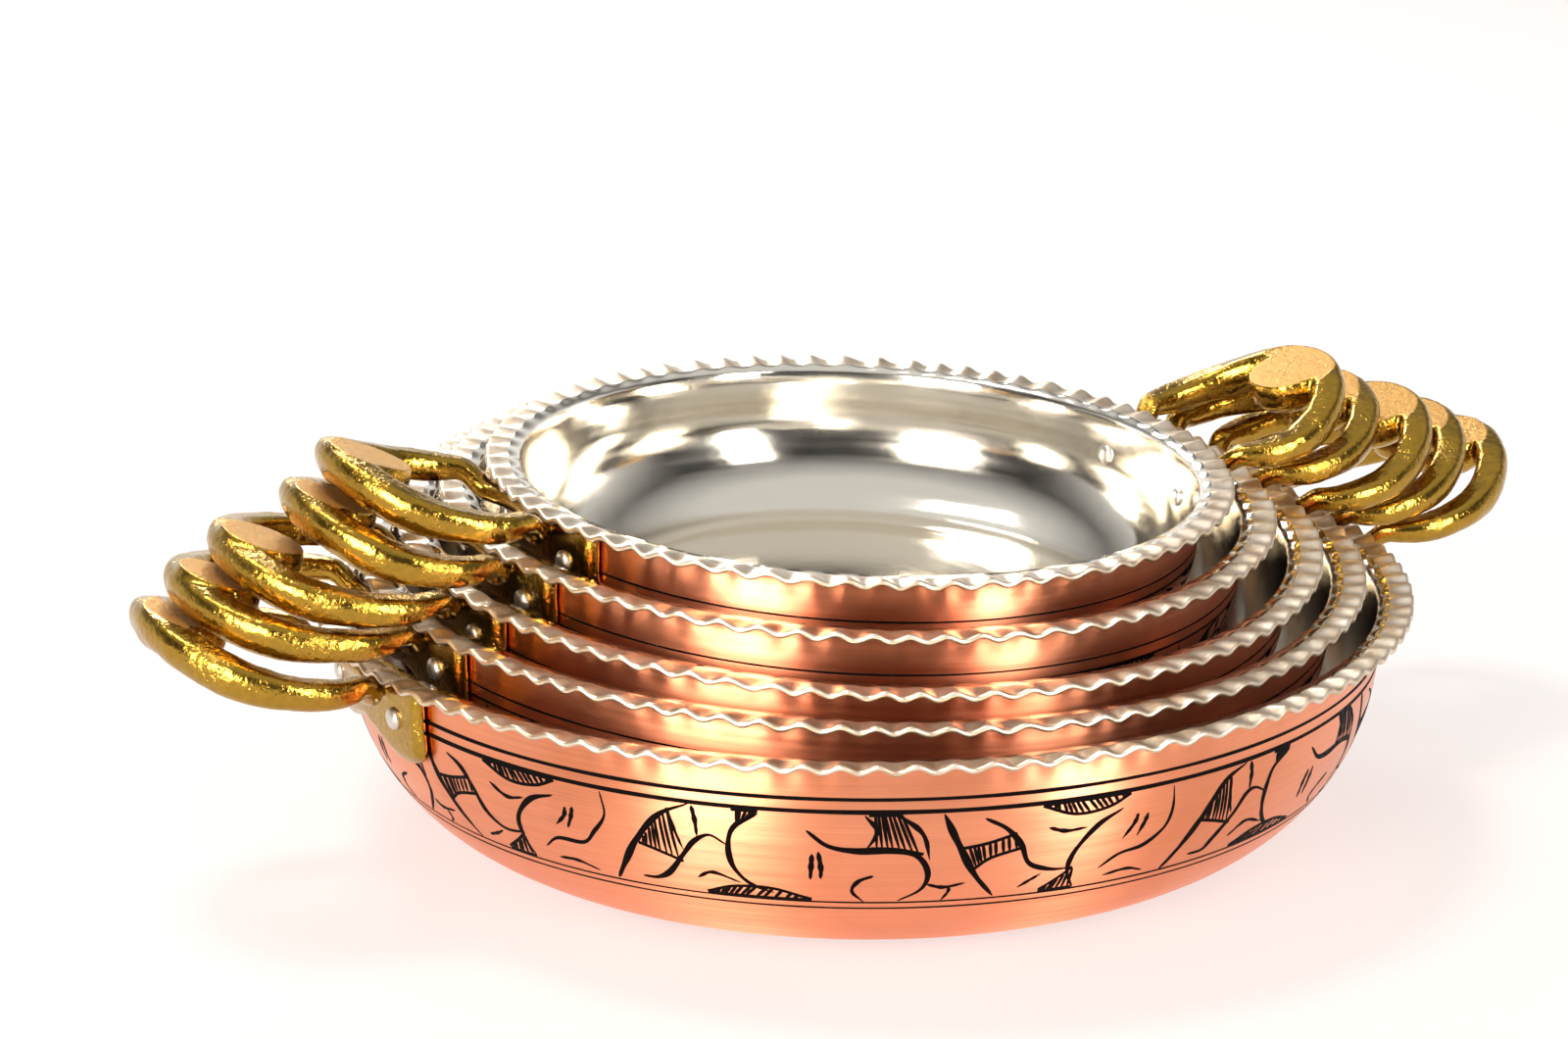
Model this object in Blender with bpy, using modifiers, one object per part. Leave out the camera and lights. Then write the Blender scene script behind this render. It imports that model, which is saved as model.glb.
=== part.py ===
"""A nesting set of five round copper pans with cast brass loop handles, stacked as they are put away.

Run with: blender --background --python part.py

Metres, +Z up. The origin is the middle of the largest pan's underside, and its handles lie along X.
Pan 1 is the smallest and pan 5 the largest. Each pan is one spun copper shell with a flat flange, and
carries two cast handles, each held by two rivets through its plate and the wall. The inner pans sit
on the handles of the next one, so a pan's height in the stack is found by lowering it until it
meets the pan below.
"""

import math

import bmesh
import bpy
from mathutils import Matrix, Vector
from mathutils.bvhtree import BVHTree

# The pans
PAN_COUNT = 5
LARGEST_RADIUS = 0.120  # to the flange's outer edge
RADIUS_STEP = 0.0098
LARGEST_HEIGHT = 0.0505
HEIGHT_STEP = 0.004
SHEET = 0.0012
FLANGE_WIDTH = 0.0064
FLANGE_THICKNESS = 0.0018  # crest to trough of the crimped flange
WALL_DRAFT = 0.05  # inward lean of the wall for each unit of depth
WALL_UPRIGHT = 0.012  # depth of the nearly upright part of the wall, over its rounding to the floor
CORNER_RUN = 0.031  # of the largest pan's rounding, in from the wall
CORNER_RUN_STEP = 0.003
PAN_SEGMENTS = 44
CORNER_STEPS = 4

# The handles of the largest pan, measured out from its wall and down from its rim
BAR_RADIUS = 0.0034
ROOT_BAR_RADIUS = 0.0021  # where the bar runs into its plate
LOOP_REACH = 0.0475  # wall to the middle of the bar at the tip
LOOP_REACH_STEP = 0.002
LOOP_HALF_WIDTH = 0.026
LOOP_WIDTH_STEP = 0.001
LOOP_SQUARENESS = 2.2  # of the loop's root end: 2 is an ellipse
LOOP_POINTS = 22
SHOULDER_RUN = 0.0058  # past its own flange the bar comes up this fast, to lie over the next pan's flange
SHOULDER_DROP = 0.0008
TIP_RISE = 0.0095
PAD_RADIUS = 0.0112
PAD_HEIGHT = 0.0042  # of the ground thumb flat, over the middle of the bar
PAD_DEPTH = 0.0020
PAD_INSET = 0.0014
PLATE_HALF_WIDTH = 0.0255
PLATE_THICKNESS = 0.0026
PLATE_SIDE_DROP = 0.0160
PLATE_LOBE_DROP = 0.0205
PLATE_WAIST_DROP = 0.0165
PLATE_COLUMNS = 10

# The rivets
RIVET_SPACING = 0.033
RIVET_RADIUS = 0.0015
HEAD_RADIUS = 0.0024
HEAD_HEIGHT = 0.0011
HEAD_CLEARANCE = 0.0020  # between a rivet's head and the bar over it
TAIL_RADIUS = 0.0022
TAIL_HEIGHT = 0.0008
HEAD_CROWN = 0.6  # where the head's top turns down, as a share of its radius
HEAD_EDGE = 0.25  # upright edge of the head, as a share of its height
TAIL_TAPER = 0.7
RIVET_SIDES = 8

GAP = 0.0003  # left between pieces that touch

ROOT_OUT = GAP + ROOT_BAR_RADIUS
RISE_REACH = FLANGE_WIDTH  # the bar stays at its root's depth until it is past its own flange
SHOULDER_REACH = RISE_REACH + SHOULDER_RUN
ROOT_DROP = FLANGE_THICKNESS + GAP + ROOT_BAR_RADIUS  # middle of the bar where it runs under the flange
RIVET_DROP = ROOT_DROP + ROOT_BAR_RADIUS + HEAD_CLEARANCE + HEAD_RADIUS

# How each pan lies in the stack: roll about the handles' axis and pitch along it, in degrees, and turn
ROLL = {1: 2.3, 2: 3.3, 3: 4.1, 4: 2.7, 5: 0.0}
PITCH = {1: 1.8, 2: 1.3, 3: 1.0, 4: 0.9, 5: 0.0}
TURN = {1: -1.0, 2: 0.5, 3: -1.0, 4: 0.0, 5: 0.0}
SHIFT = {
    1: (-0.0040, -0.0036),
    2: (-0.0034, -0.0012),
    3: (-0.0028, -0.0004),
    4: (-0.0012, 0.0020),
    5: (0.0, 0.0),
}

# Handles are bent by hand: how far each tip stands over (or under) TIP_RISE, left (-X) then right (+X)
TIP_LIFT = {
    1: (-0.0008, 0.0030),
    2: (0.0, 0.0005),
    3: (-0.0018, 0.0030),
    4: (-0.0022, 0.0030),
    5: (0.0010, 0.0032),
}

SIDES = {"left": -1, "right": 1}


def clear_scene():
    for obj in list(bpy.data.objects):
        bpy.data.objects.remove(obj)


def new_collection(name):
    collection = bpy.data.collections.new(name)
    bpy.context.scene.collection.children.link(collection)
    return collection


def new_material(name, colour, roughness):
    material = bpy.data.materials.new(name)
    material.use_nodes = True
    shader = material.node_tree.nodes["Principled BSDF"]
    shader.inputs["Base Color"].default_value = (*colour, 1)
    shader.inputs["Metallic"].default_value = 1
    shader.inputs["Roughness"].default_value = roughness
    return material


def mesh_object(name, shape, collection, material=None, parent=None):
    """A new object from a bmesh, which is freed."""
    mesh = bpy.data.meshes.new(name)
    shape.to_mesh(mesh)
    shape.free()
    obj = bpy.data.objects.new(name, mesh)
    collection.objects.link(obj)
    obj.parent = parent
    if material:
        mesh.materials.append(material)
    return obj


def add_boolean(obj, cutter, operation):
    modifier = obj.modifiers.new(cutter.name, "BOOLEAN")
    modifier.object = cutter
    modifier.operation = operation
    modifier.solver = "EXACT"


def hide_cutter(obj):
    obj.hide_render = True
    obj.display_type = "WIRE"
    return obj


class Pan:
    """The sizes of one pan. Heights are from its underside."""

    def __init__(self, number):
        smaller_by = PAN_COUNT - number
        self.number = number
        self.radius = LARGEST_RADIUS - smaller_by * RADIUS_STEP
        self.height = LARGEST_HEIGHT - smaller_by * HEIGHT_STEP
        self.wall = self.radius - FLANGE_WIDTH
        self.corner_rise = self.height - WALL_UPRIGHT
        self.corner_run = CORNER_RUN - smaller_by * CORNER_RUN_STEP
        self.reach = LOOP_REACH - smaller_by * LOOP_REACH_STEP
        self.half_width = LOOP_HALF_WIDTH - smaller_by * LOOP_WIDTH_STEP

    def wall_radius(self, z):
        """Outer radius of the wall at a height, on the straight runs between the profile's points."""
        profile = self.outer_profile()
        for (high_radius, high), (low_radius, low) in zip(profile, profile[1:]):
            if z >= low:
                return low_radius + (high_radius - low_radius) * (z - low) / (high - low)
        return profile[-1][0]

    def wall_lean(self, z):
        """Angle of the wall off upright at a height."""
        step = 0.0005
        return math.atan2(self.wall_radius(z + step) - self.wall_radius(z - step), 2 * step)

    def outer_profile(self):
        """(radius, height) down the outside, from under the flange to the edge of the flat bottom."""
        points = [(self.wall, self.height - FLANGE_THICKNESS)]
        for step in range(CORNER_STEPS + 1):
            angle = math.pi / 2 * step / CORNER_STEPS
            z = self.corner_rise * (1 - math.sin(angle))
            radius = self.wall - (self.height - z) * WALL_DRAFT - self.corner_run * (1 - math.cos(angle))
            points.append((radius, z))
        return points

    def inner_profile(self):
        """The same line one sheet further in, from the flat floor's edge up to the rim."""
        outer = self.outer_profile()
        outer[0] = (self.wall, self.height)
        inner = [(outer[0][0] - SHEET, self.height)]
        for before, here, after in zip(outer, outer[1:], outer[2:] + [(0, 0)]):
            along = Vector(after) - Vector(before)
            normal = Vector((along.y, -along.x)).normalized()
            inner.append(tuple(Vector(here) + normal * SHEET))
        inner[-1] = (inner[-1][0], SHEET)
        return inner[::-1]


def make_shell(pan, collection, material, seat):
    """The spun shell: floor, wall and flange in one turned profile."""
    profile = [(0, SHEET)]
    profile += pan.inner_profile()
    profile += [(pan.radius, pan.height), (pan.radius, pan.height - FLANGE_THICKNESS)]
    profile += pan.outer_profile()
    profile += [(0, 0)]
    shape = bmesh.new()
    points = [shape.verts.new((radius, 0, z)) for radius, z in profile]
    for start, end in zip(points, points[1:]):
        shape.edges.new((start, end))
    shell = mesh_object(f"pan_{pan.number}_shell", shape, collection, material, seat)
    screw = shell.modifiers.new("spin", "SCREW")
    screw.steps = screw.render_steps = PAN_SEGMENTS
    screw.use_merge_vertices = True
    screw.merge_threshold = 0.00001
    screw.use_smooth_shade = True
    return shell


def ease(share):
    """0 to 1 with a level start and end."""
    share = min(max(share, 0), 1)
    return share * share * (3 - 2 * share)


def bar_height(pan, side, out):
    """Height of the bar's middle over the rim, at a distance out from the wall."""
    rise = ease((out - RISE_REACH) / (SHOULDER_REACH - RISE_REACH))
    height = -ROOT_DROP + (ROOT_DROP - SHOULDER_DROP) * rise
    tip = TIP_RISE + TIP_LIFT[pan.number][0 if side == "left" else 1]
    beyond = max(out - SHOULDER_REACH, 0) / (pan.reach - SHOULDER_REACH)
    return height + (tip + SHOULDER_DROP) * beyond**2


def bar_slope(pan, side, out):
    step = 0.0001
    return (bar_height(pan, side, out + step) - bar_height(pan, side, out - step)) / (2 * step)


def loop_points(pan, side):
    """(place, bar radius) along the middle of the cast loop: round at the tip, swept up outwards."""
    half_length = (pan.reach - ROOT_OUT) / 2
    middle = ROOT_OUT + half_length
    points = []
    for step in range(LOOP_POINTS):
        angle = 2 * math.pi * (step + 0.5) / LOOP_POINTS
        power = 1 if math.cos(angle) > 0 else 2 / LOOP_SQUARENESS
        along = math.copysign(abs(math.cos(angle)) ** power, math.cos(angle))
        across = math.copysign(abs(math.sin(angle)) ** power, math.sin(angle))
        out = middle + half_length * along
        sideways = pan.half_width * across
        # The root end follows the round of the wall, and the tip doesn't.
        set_back = (pan.wall - math.sqrt(pan.wall**2 - sideways**2)) * (1 - along) / 2
        height = pan.height + bar_height(pan, side, out)
        radius = ROOT_BAR_RADIUS + (BAR_RADIUS - ROOT_BAR_RADIUS) * ease(1 + along)
        points.append((Vector((pan.wall + out - set_back, sideways, height)), radius))
    return points


def make_loop(name, pan, side, collection, material, seat):
    """The loop as a tube, made a mesh so that it can be joined to its plate and pad."""
    curve = bpy.data.curves.new(name, "CURVE")
    curve.dimensions = "3D"
    curve.twist_mode = "Z_UP"
    curve.bevel_depth = BAR_RADIUS
    curve.bevel_resolution = 2
    spline = curve.splines.new("POLY")
    points = loop_points(pan, side)
    spline.points.add(len(points) - 1)
    for point, (place, radius) in zip(spline.points, points):
        point.co = (*place, 1)
        point.radius = radius / BAR_RADIUS
    spline.use_cyclic_u = True
    guide = bpy.data.objects.new(name + "_guide", curve)
    collection.objects.link(guide)
    graph = bpy.context.evaluated_depsgraph_get()
    mesh = bpy.data.meshes.new_from_object(guide.evaluated_get(graph))
    bpy.data.objects.remove(guide)
    shape = bmesh.new()
    shape.from_mesh(mesh)
    bmesh.ops.remove_doubles(shape, verts=shape.verts, dist=0.000001)
    bmesh.ops.recalc_face_normals(shape, faces=shape.faces)
    return mesh_object(name, shape, collection, material, seat)


def make_pad(name, pan, side, cutters, seat):
    """The thumb pad: a flat round boss that fills the loop's tip and slopes with it."""
    out = pan.reach + BAR_RADIUS - PAD_INSET - PAD_RADIUS
    shape = bmesh.new()
    depth = PAD_HEIGHT + PAD_DEPTH
    bmesh.ops.create_cone(
        shape, cap_ends=True, segments=14, radius1=PAD_RADIUS - depth / 4, radius2=PAD_RADIUS, depth=depth
    )
    slope = Matrix.Rotation(-math.atan(bar_slope(pan, side, out)), 4, "Y")
    lift = Matrix.Translation((0, 0, PAD_HEIGHT - depth / 2))
    place = Matrix.Translation((pan.wall + out, 0, pan.height + bar_height(pan, side, out)))
    bmesh.ops.transform(shape, matrix=place @ slope @ lift, verts=shape.verts)
    return hide_cutter(mesh_object(name, shape, cutters, parent=seat))


def plate_drop(sideways):
    """How far the plate's lower edge hangs under the rim: two lobes with a shallow waist between."""
    off = abs(sideways) - RIVET_SPACING / 2
    room = PLATE_HALF_WIDTH - RIVET_SPACING / 2
    if off > 0:
        lobe = math.sqrt(max(1 - (off / room) ** 2, 0))
        return PLATE_SIDE_DROP + (PLATE_LOBE_DROP - PLATE_SIDE_DROP) * lobe
    waist = ease(1 + off / (RIVET_SPACING / 2))
    return PLATE_WAIST_DROP + (PLATE_LOBE_DROP - PLATE_WAIST_DROP) * waist


def make_plate(name, pan, cutters, seat):
    """The riveting plate: a shield that follows the wall, lofted across in upright strips."""
    top = FLANGE_THICKNESS + GAP
    shape = bmesh.new()
    sections = []
    for column in range(PLATE_COLUMNS + 1):
        sideways = -PLATE_HALF_WIDTH * math.cos(math.pi * column / PLATE_COLUMNS)
        angle = sideways / pan.wall
        drops = [top, WALL_UPRIGHT, plate_drop(sideways)]
        section = []
        for extra, heights in ((PLATE_THICKNESS, drops), (0, drops[::-1])):
            for drop in heights:
                radius = pan.wall_radius(pan.height - drop) + GAP + extra
                place = (radius * math.cos(angle), radius * math.sin(angle), pan.height - drop)
                section.append(shape.verts.new(place))
        sections.append(section)
    count = len(sections[0])
    for here, after in zip(sections, sections[1:]):
        for index in range(count):
            following = (index + 1) % count
            shape.faces.new((here[index], after[index], after[following], here[following]))
    shape.faces.new(sections[0])
    shape.faces.new(sections[-1][::-1])
    bmesh.ops.recalc_face_normals(shape, faces=shape.faces)
    return hide_cutter(mesh_object(name, shape, cutters, parent=seat))


def rivet_frame(pan, side, sign):
    """Frame of one rivet: its Z points out of the wall through the plate, from the wall's face."""
    angle = math.asin(sign * RIVET_SPACING / 2 / pan.wall)
    z = pan.height - RIVET_DROP
    turn = Matrix.Rotation(angle + (math.pi if side == "left" else 0), 4, "Z")
    place = Matrix.Translation((pan.wall_radius(z), 0, z))
    return turn @ place @ Matrix.Rotation(math.pi / 2 + pan.wall_lean(z), 4, "Y")


def make_rivet(name, pan, side, sign, collection, material, seat):
    """One rivet, turned: low round head outside the plate, shank, and spread tail inside the wall."""
    head = GAP + PLATE_THICKNESS + GAP
    tail = -SHEET - 2 * GAP
    profile = [
        (0, head + HEAD_HEIGHT),
        (HEAD_RADIUS * HEAD_CROWN, head + HEAD_HEIGHT * (1 - HEAD_EDGE)),
        (HEAD_RADIUS, head + HEAD_HEIGHT * HEAD_EDGE),
        (HEAD_RADIUS, head),
        (RIVET_RADIUS, head),
        (RIVET_RADIUS, tail),
        (TAIL_RADIUS, tail),
        (TAIL_RADIUS * TAIL_TAPER, tail - TAIL_HEIGHT),
        (0, tail - TAIL_HEIGHT),
    ]
    shape = bmesh.new()
    points = [shape.verts.new((radius, 0, z)) for radius, z in profile]
    for start, end in zip(points, points[1:]):
        shape.edges.new((start, end))
    rivet = mesh_object(name, shape, collection, material, seat)
    rivet.matrix_local = rivet_frame(pan, side, sign)
    screw = rivet.modifiers.new("spin", "SCREW")
    screw.steps = screw.render_steps = RIVET_SIDES
    screw.use_merge_vertices = True
    screw.merge_threshold = 0.00001
    screw.use_smooth_shade = True
    return rivet


def make_rivet_hole(name, pan, side, sign, cutters, seat):
    """A round cutter through the plate and the wall, one gap wider than the shank."""
    shape = bmesh.new()
    reach = 2 * (PLATE_THICKNESS + SHEET + 2 * GAP)
    hole = RIVET_RADIUS + GAP
    bmesh.ops.create_cone(
        shape, cap_ends=True, segments=RIVET_SIDES, radius1=hole, radius2=hole, depth=2 * reach
    )
    cutter = hide_cutter(mesh_object(name, shape, cutters, parent=seat))
    cutter.matrix_local = rivet_frame(pan, side, sign)
    return cutter


def make_handle(pan, side, parts, cutters, brass, seat):
    """One casting: loop, thumb pad and riveting plate joined, and built towards +X, then turned."""
    name = f"pan_{pan.number}_handle_{side}"
    handle = make_loop(name, pan, side, parts, brass, seat)
    pad = make_pad(name + "_pad", pan, side, cutters, seat)
    plate = make_plate(name + "_plate", pan, cutters, seat)
    if side == "left":
        for piece in (handle, pad, plate):
            piece.matrix_local = Matrix.Rotation(math.pi, 4, "Z")
    add_boolean(handle, pad, "UNION")
    add_boolean(handle, plate, "UNION")
    return handle


def world_mesh(objects):
    """(points, polygons) of the evaluated objects, all in the world's frame."""
    bpy.context.view_layer.update()
    graph = bpy.context.evaluated_depsgraph_get()
    points = []
    polygons = []
    for obj in objects:
        evaluated = obj.evaluated_get(graph)
        mesh = evaluated.to_mesh()
        start = len(points)
        points += [evaluated.matrix_world @ vertex.co for vertex in mesh.vertices]
        polygons += [[start + index for index in polygon.vertices] for polygon in mesh.polygons]
        evaluated.to_mesh_clear()
    return points, polygons


def settle(seat, upper, lower):
    """Lowers a pan's seat until its pieces lie one gap over the pieces of the pan below."""
    below = BVHTree.FromPolygons(*world_mesh(lower))
    points, polygons = world_mesh(upper)
    bottom = seat.location.z

    def touches(height):
        shift = Vector((0, 0, height - bottom))
        return bool(below.overlap(BVHTree.FromPolygons([point + shift for point in points], polygons)))

    clear = bottom
    step = 0.0005
    while not touches(clear - step):
        clear -= step
    blocked = clear - step
    while clear - blocked > 0.000001:
        middle = (clear + blocked) / 2
        if touches(middle):
            blocked = middle
        else:
            clear = middle
    seat.location.z = clear + GAP


def make_pan(number, parts, cutters, materials):
    """One pan's pieces, parented to an empty on its axis. Returns its sizes, the empty and the pieces."""
    copper, brass, steel = materials
    pan = Pan(number)
    seat = bpy.data.objects.new(f"pan_{number}_seat", None)
    parts.objects.link(seat)
    shell = make_shell(pan, parts, copper, seat)
    pieces = [shell]
    for side in SIDES:
        handle = make_handle(pan, side, parts, cutters, brass, seat)
        pieces.append(handle)
        for place, sign in (("front", -SIDES[side]), ("back", SIDES[side])):
            name = f"pan_{number}_rivet_{side}_{place}"
            hole = make_rivet_hole(name + "_hole", pan, side, sign, cutters, seat)
            add_boolean(shell, hole, "DIFFERENCE")
            add_boolean(handle, hole, "DIFFERENCE")
            pieces.append(make_rivet(name, pan, side, sign, parts, steel, seat))
    return pan, seat, pieces


def main():
    clear_scene()
    parts = new_collection("nesting_pan_set")
    cutters = new_collection("nesting_pan_set_cutters")
    materials = (
        new_material("spun copper", (0.79, 0.42, 0.29), 0.28),
        new_material("cast brass", (0.72, 0.53, 0.20), 0.38),
        new_material("rivet steel", (0.72, 0.70, 0.66), 0.35),
    )
    below = None
    for number in range(PAN_COUNT, 0, -1):
        pan, seat, pieces = make_pan(number, parts, cutters, materials)
        roll = Matrix.Rotation(math.radians(ROLL[number]), 4, "X")
        pitch = Matrix.Rotation(math.radians(PITCH[number]), 4, "Y")
        turn = Matrix.Rotation(math.radians(TURN[number]), 4, "Z")
        seat.rotation_euler = (pitch @ roll @ turn).to_euler()
        if below:
            lower_pan, lower_seat, lower_pieces = below
            clear_height = lower_seat.location.z + lower_pan.height + 2 * LOOP_REACH
            seat.location = (*SHIFT[number], clear_height)
            settle(seat, pieces, lower_pieces)
        below = (pan, seat, pieces)
    bpy.context.view_layer.update()


main()
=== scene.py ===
"""The looks of a nesting set of five tinned copper pans with cast brass handles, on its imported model."""

import math

import bmesh
import bpy
import numpy as np
from mathutils import Matrix, Vector, noise


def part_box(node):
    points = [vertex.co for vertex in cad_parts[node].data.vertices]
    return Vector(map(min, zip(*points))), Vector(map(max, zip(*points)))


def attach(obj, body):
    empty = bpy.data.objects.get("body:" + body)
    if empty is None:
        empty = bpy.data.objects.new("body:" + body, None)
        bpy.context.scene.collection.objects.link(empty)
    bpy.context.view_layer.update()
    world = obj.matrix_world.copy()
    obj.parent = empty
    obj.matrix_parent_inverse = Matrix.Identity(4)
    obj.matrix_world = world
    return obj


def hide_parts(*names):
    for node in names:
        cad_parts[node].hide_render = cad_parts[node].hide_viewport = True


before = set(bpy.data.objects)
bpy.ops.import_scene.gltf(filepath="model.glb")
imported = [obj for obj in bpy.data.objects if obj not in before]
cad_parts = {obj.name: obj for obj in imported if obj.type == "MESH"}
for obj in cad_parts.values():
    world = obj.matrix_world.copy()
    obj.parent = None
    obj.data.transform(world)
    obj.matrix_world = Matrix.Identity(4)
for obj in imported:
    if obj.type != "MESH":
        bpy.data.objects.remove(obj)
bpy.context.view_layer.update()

# ---------------------------------------------------------------------------------------------------------
# The pans' shells. Each is one disc of 1.2 mm copper, spun over a former on a lathe, so its skin carries fine
# turned lines. The flange is crimped into waves between toothed rollers, which also leaves soft flutes at the
# top of the wall. The inside and the flange are then wiped with molten tin.

PANS = (5, 4, 3, 2, 1)
FLANGE = 0.0064
SHEET = 0.0012
FLANGE_SHEET = 0.00125  # with its coat of tin
WALL_UPRIGHT = 0.012
WALL_DRAFT = 0.05
CORNER_RUN = {5: 0.031, 4: 0.028, 3: 0.025, 2: 0.022, 1: 0.019}
CORNER_STEPS = 18
FLANGE_BEND = 0.0012  # the height in which the wall turns out into the flange
WAVES = {5: 101, 4: 92, 3: 84, 2: 76, 1: 68}
STEPS_PER_WAVE = 12
WAVE_RISE = 0.00066  # half of crest to trough
WAVE_MIDDLE = 0.0013  # under the rim's highest point
FLANGE_LIFT = 0.0006  # the flange stands up a little towards its edge
FLUTE = 0.00014  # how far the flutes under the flange swing in and out


def shell_points(number):
    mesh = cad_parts[f"pan_{number}_shell"].data
    points = np.empty(len(mesh.vertices) * 3)
    mesh.vertices.foreach_get("co", points)
    return points.reshape(-1, 3)


def node_middle(node):
    low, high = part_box(node)
    return (Vector(low) + Vector(high)) / 2


class Seat:
    """One pan's axis, underside and sizes, measured on its shell. X runs to its right handle."""

    def __init__(self, number):
        points = shell_points(number)
        axis = self.thinnest(points)
        heights = points @ axis
        edge = points[heights > heights.max() - 0.003]
        for _ in range(4):
            axis = self.thinnest(edge)
            middle = self.circle_middle(edge, axis)
            out = np.linalg.norm(np.cross(points - middle, axis), axis=1)
            edge = points[out > out.max() - 0.0005]
        heights = (points - middle) @ axis
        self.number = number
        self.radius = float(out.max())
        self.height = float(heights.max() - heights.min())
        self.wall = self.radius - FLANGE
        up = Vector(axis)
        right = node_middle(f"pan_{number}_handle_right") - node_middle(f"pan_{number}_handle_left")
        right = (right - up * right.dot(up)).normalized()
        base = Vector(middle) + up * float(heights.min())
        self.matrix = Matrix.Translation(base) @ Matrix((right, up.cross(right), up)).transposed().to_4x4()

    @staticmethod
    def thinnest(points):
        """The upward direction in which the points spread least."""
        axis = np.linalg.svd(points - points.mean(0), full_matrices=False)[2][2]
        return axis * np.sign(axis[2])

    @staticmethod
    def circle_middle(points, axis):
        """The middle of the circle that the points lie on, square to the axis."""
        start = points.mean(0)
        across = np.cross(axis, (0.0, 1.0, 0.0))
        across /= np.linalg.norm(across)
        other = np.cross(axis, across)
        flat = np.column_stack([(points - start) @ across, (points - start) @ other])
        rows = np.column_stack([2 * flat, np.ones(len(flat))])
        u, v, _ = np.linalg.lstsq(rows, (flat**2).sum(1), rcond=None)[0]
        return start + u * across + v * other

    def outside(self, z):
        """Outer radius of the wall at a height over the underside."""
        rise = self.height - WALL_UPRIGHT
        radius = self.wall - (self.height - z) * WALL_DRAFT
        if z < rise:
            radius -= CORNER_RUN[self.number] * (1 - math.sqrt(max(1 - (1 - z / rise) ** 2, 0)))
        return radius


SEATS = {number: Seat(number) for number in PANS}


def shell_profile(seat):
    """Three runs of (radius, height): up the inside, over and back under the flange, down the outside."""
    rise = seat.height - WALL_UPRIGHT
    middle = seat.height - WAVE_MIDDLE
    under = middle - FLANGE_SHEET / 2
    over = middle + FLANGE_SHEET / 2
    root = under - FLANGE_LIFT
    outer = [(seat.outside(root) + FLANGE_BEND * 0.35, root - 0.0002)]
    outer.append((seat.outside(root), root - FLANGE_BEND))
    for drop in (0.0052, 0.0068, 0.0085, 0.0103):
        outer.append((seat.outside(seat.height - drop), seat.height - drop))
    for step in range(CORNER_STEPS + 1):
        z = rise * (1 - math.sin(math.pi / 2 * step / CORNER_STEPS))
        outer.append((seat.outside(z), z))
    foot = outer[-1][0]
    outer += [(foot * 0.97, 0.0), (foot * 0.75, 0.0), (foot * 0.4, 0.0), (0.0, 0.0)]
    inner = []
    for index in range(1, len(outer) - 4):
        before, here, after = (Vector(outer[index + shift]) for shift in (-1, 0, 1))
        along = (after - before).normalized()
        inner.append(tuple(here + Vector((along.y, -along.x)) * SHEET))
    inner += [(foot * 0.97, SHEET), (foot * 0.75, SHEET), (foot * 0.4, SHEET), (0.0, SHEET)]
    lip = over - FLANGE_LIFT
    inner[0] = (seat.outside(lip) - SHEET, lip - FLANGE_BEND)
    inner.insert(0, (seat.outside(lip) - SHEET + 0.0003, lip - 0.0003))
    shares = (0.22, 0.38, 0.54, 0.7, 0.86)
    flange_out = [(seat.wall + share * FLANGE, (share - 1) * FLANGE_LIFT) for share in shares]
    top = [(out, over + lift) for out, lift in flange_out]
    edge = []
    round_edge = FLANGE_SHEET / 2
    for step in range(1, 6):
        turn = math.pi * step / 6
        swing = round_edge * math.sin(turn)
        edge.append((seat.radius - round_edge + swing, middle + round_edge * math.cos(turn)))
    bottom = [(out, under + lift) for out, lift in flange_out[::-1]]
    return inner[::-1], top + edge + bottom, outer


def linear(code):
    """An sRGB hex colour as a linear RGBA tuple."""
    shares = [int(code[start : start + 2], 16) / 255 for start in (1, 3, 5)]
    return (*(s / 12.92 if s <= 0.04045 else ((s + 0.055) / 1.055) ** 2.4 for s in shares), 1.0)


def add(tree, kind, inputs=None, **settings):
    """Adds one node to a tree, sets its properties, and fills its inputs with values or links."""
    node = tree.nodes.new(kind)
    for name, value in settings.items():
        setattr(node, name, value)
    for key, value in (inputs or {}).items():
        if isinstance(value, bpy.types.NodeSocket):
            tree.links.new(value, node.inputs[key])
        else:
            node.inputs[key].default_value = value
    return node


def new_finish(name):
    """A new material, its node tree and its surface shader."""
    material = bpy.data.materials.new(name)
    material.use_nodes = True
    return material, material.node_tree, material.node_tree.nodes["Principled BSDF"]


# Spun copper, brushed round on the lathe and left bare: warm salmon pink, satin, with fine lines round it that
# stretch every highlight upright. Tarnish makes soft cloudy patches a little darker and redder.
copper, tree, shader = new_finish("spun copper")
turning = add(tree, "ShaderNodeUVMap", uv_map="turning")
# Lines a real lathe leaves are about 0.1 mm apart, and are drawn 0.25 mm apart so that they show.
lines_at = add(tree, "ShaderNodeMapping", {"Vector": turning.outputs["UV"], "Scale": (18.0, 4000.0, 1.0)})
lines = add(tree, "ShaderNodeTexNoise", {"Vector": lines_at.outputs[0], "Scale": 1.0, "Detail": 3.0})
bands_at = add(tree, "ShaderNodeMapping", {"Vector": turning.outputs["UV"], "Scale": (9.0, 700.0, 1.0)})
bands = add(tree, "ShaderNodeTexNoise", {"Vector": bands_at.outputs[0], "Scale": 1.0, "Detail": 2.0})
place = add(tree, "ShaderNodeTexCoord")
clouds = add(tree, "ShaderNodeTexNoise", {"Vector": place.outputs["Object"], "Scale": 34.0, "Detail": 4.0})
tarnish = add(tree, "ShaderNodeMapRange", {"Value": clouds.outputs["Fac"], "From Min": 0.4, "From Max": 0.68})
tarnish.inputs["To Max"].default_value = 0.5
tint = add(
    tree,
    "ShaderNodeMix",
    {0: tarnish.outputs[0], 6: linear("#F6A079"), 7: linear("#DC8256")},
    data_type="RGBA",
)
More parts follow.
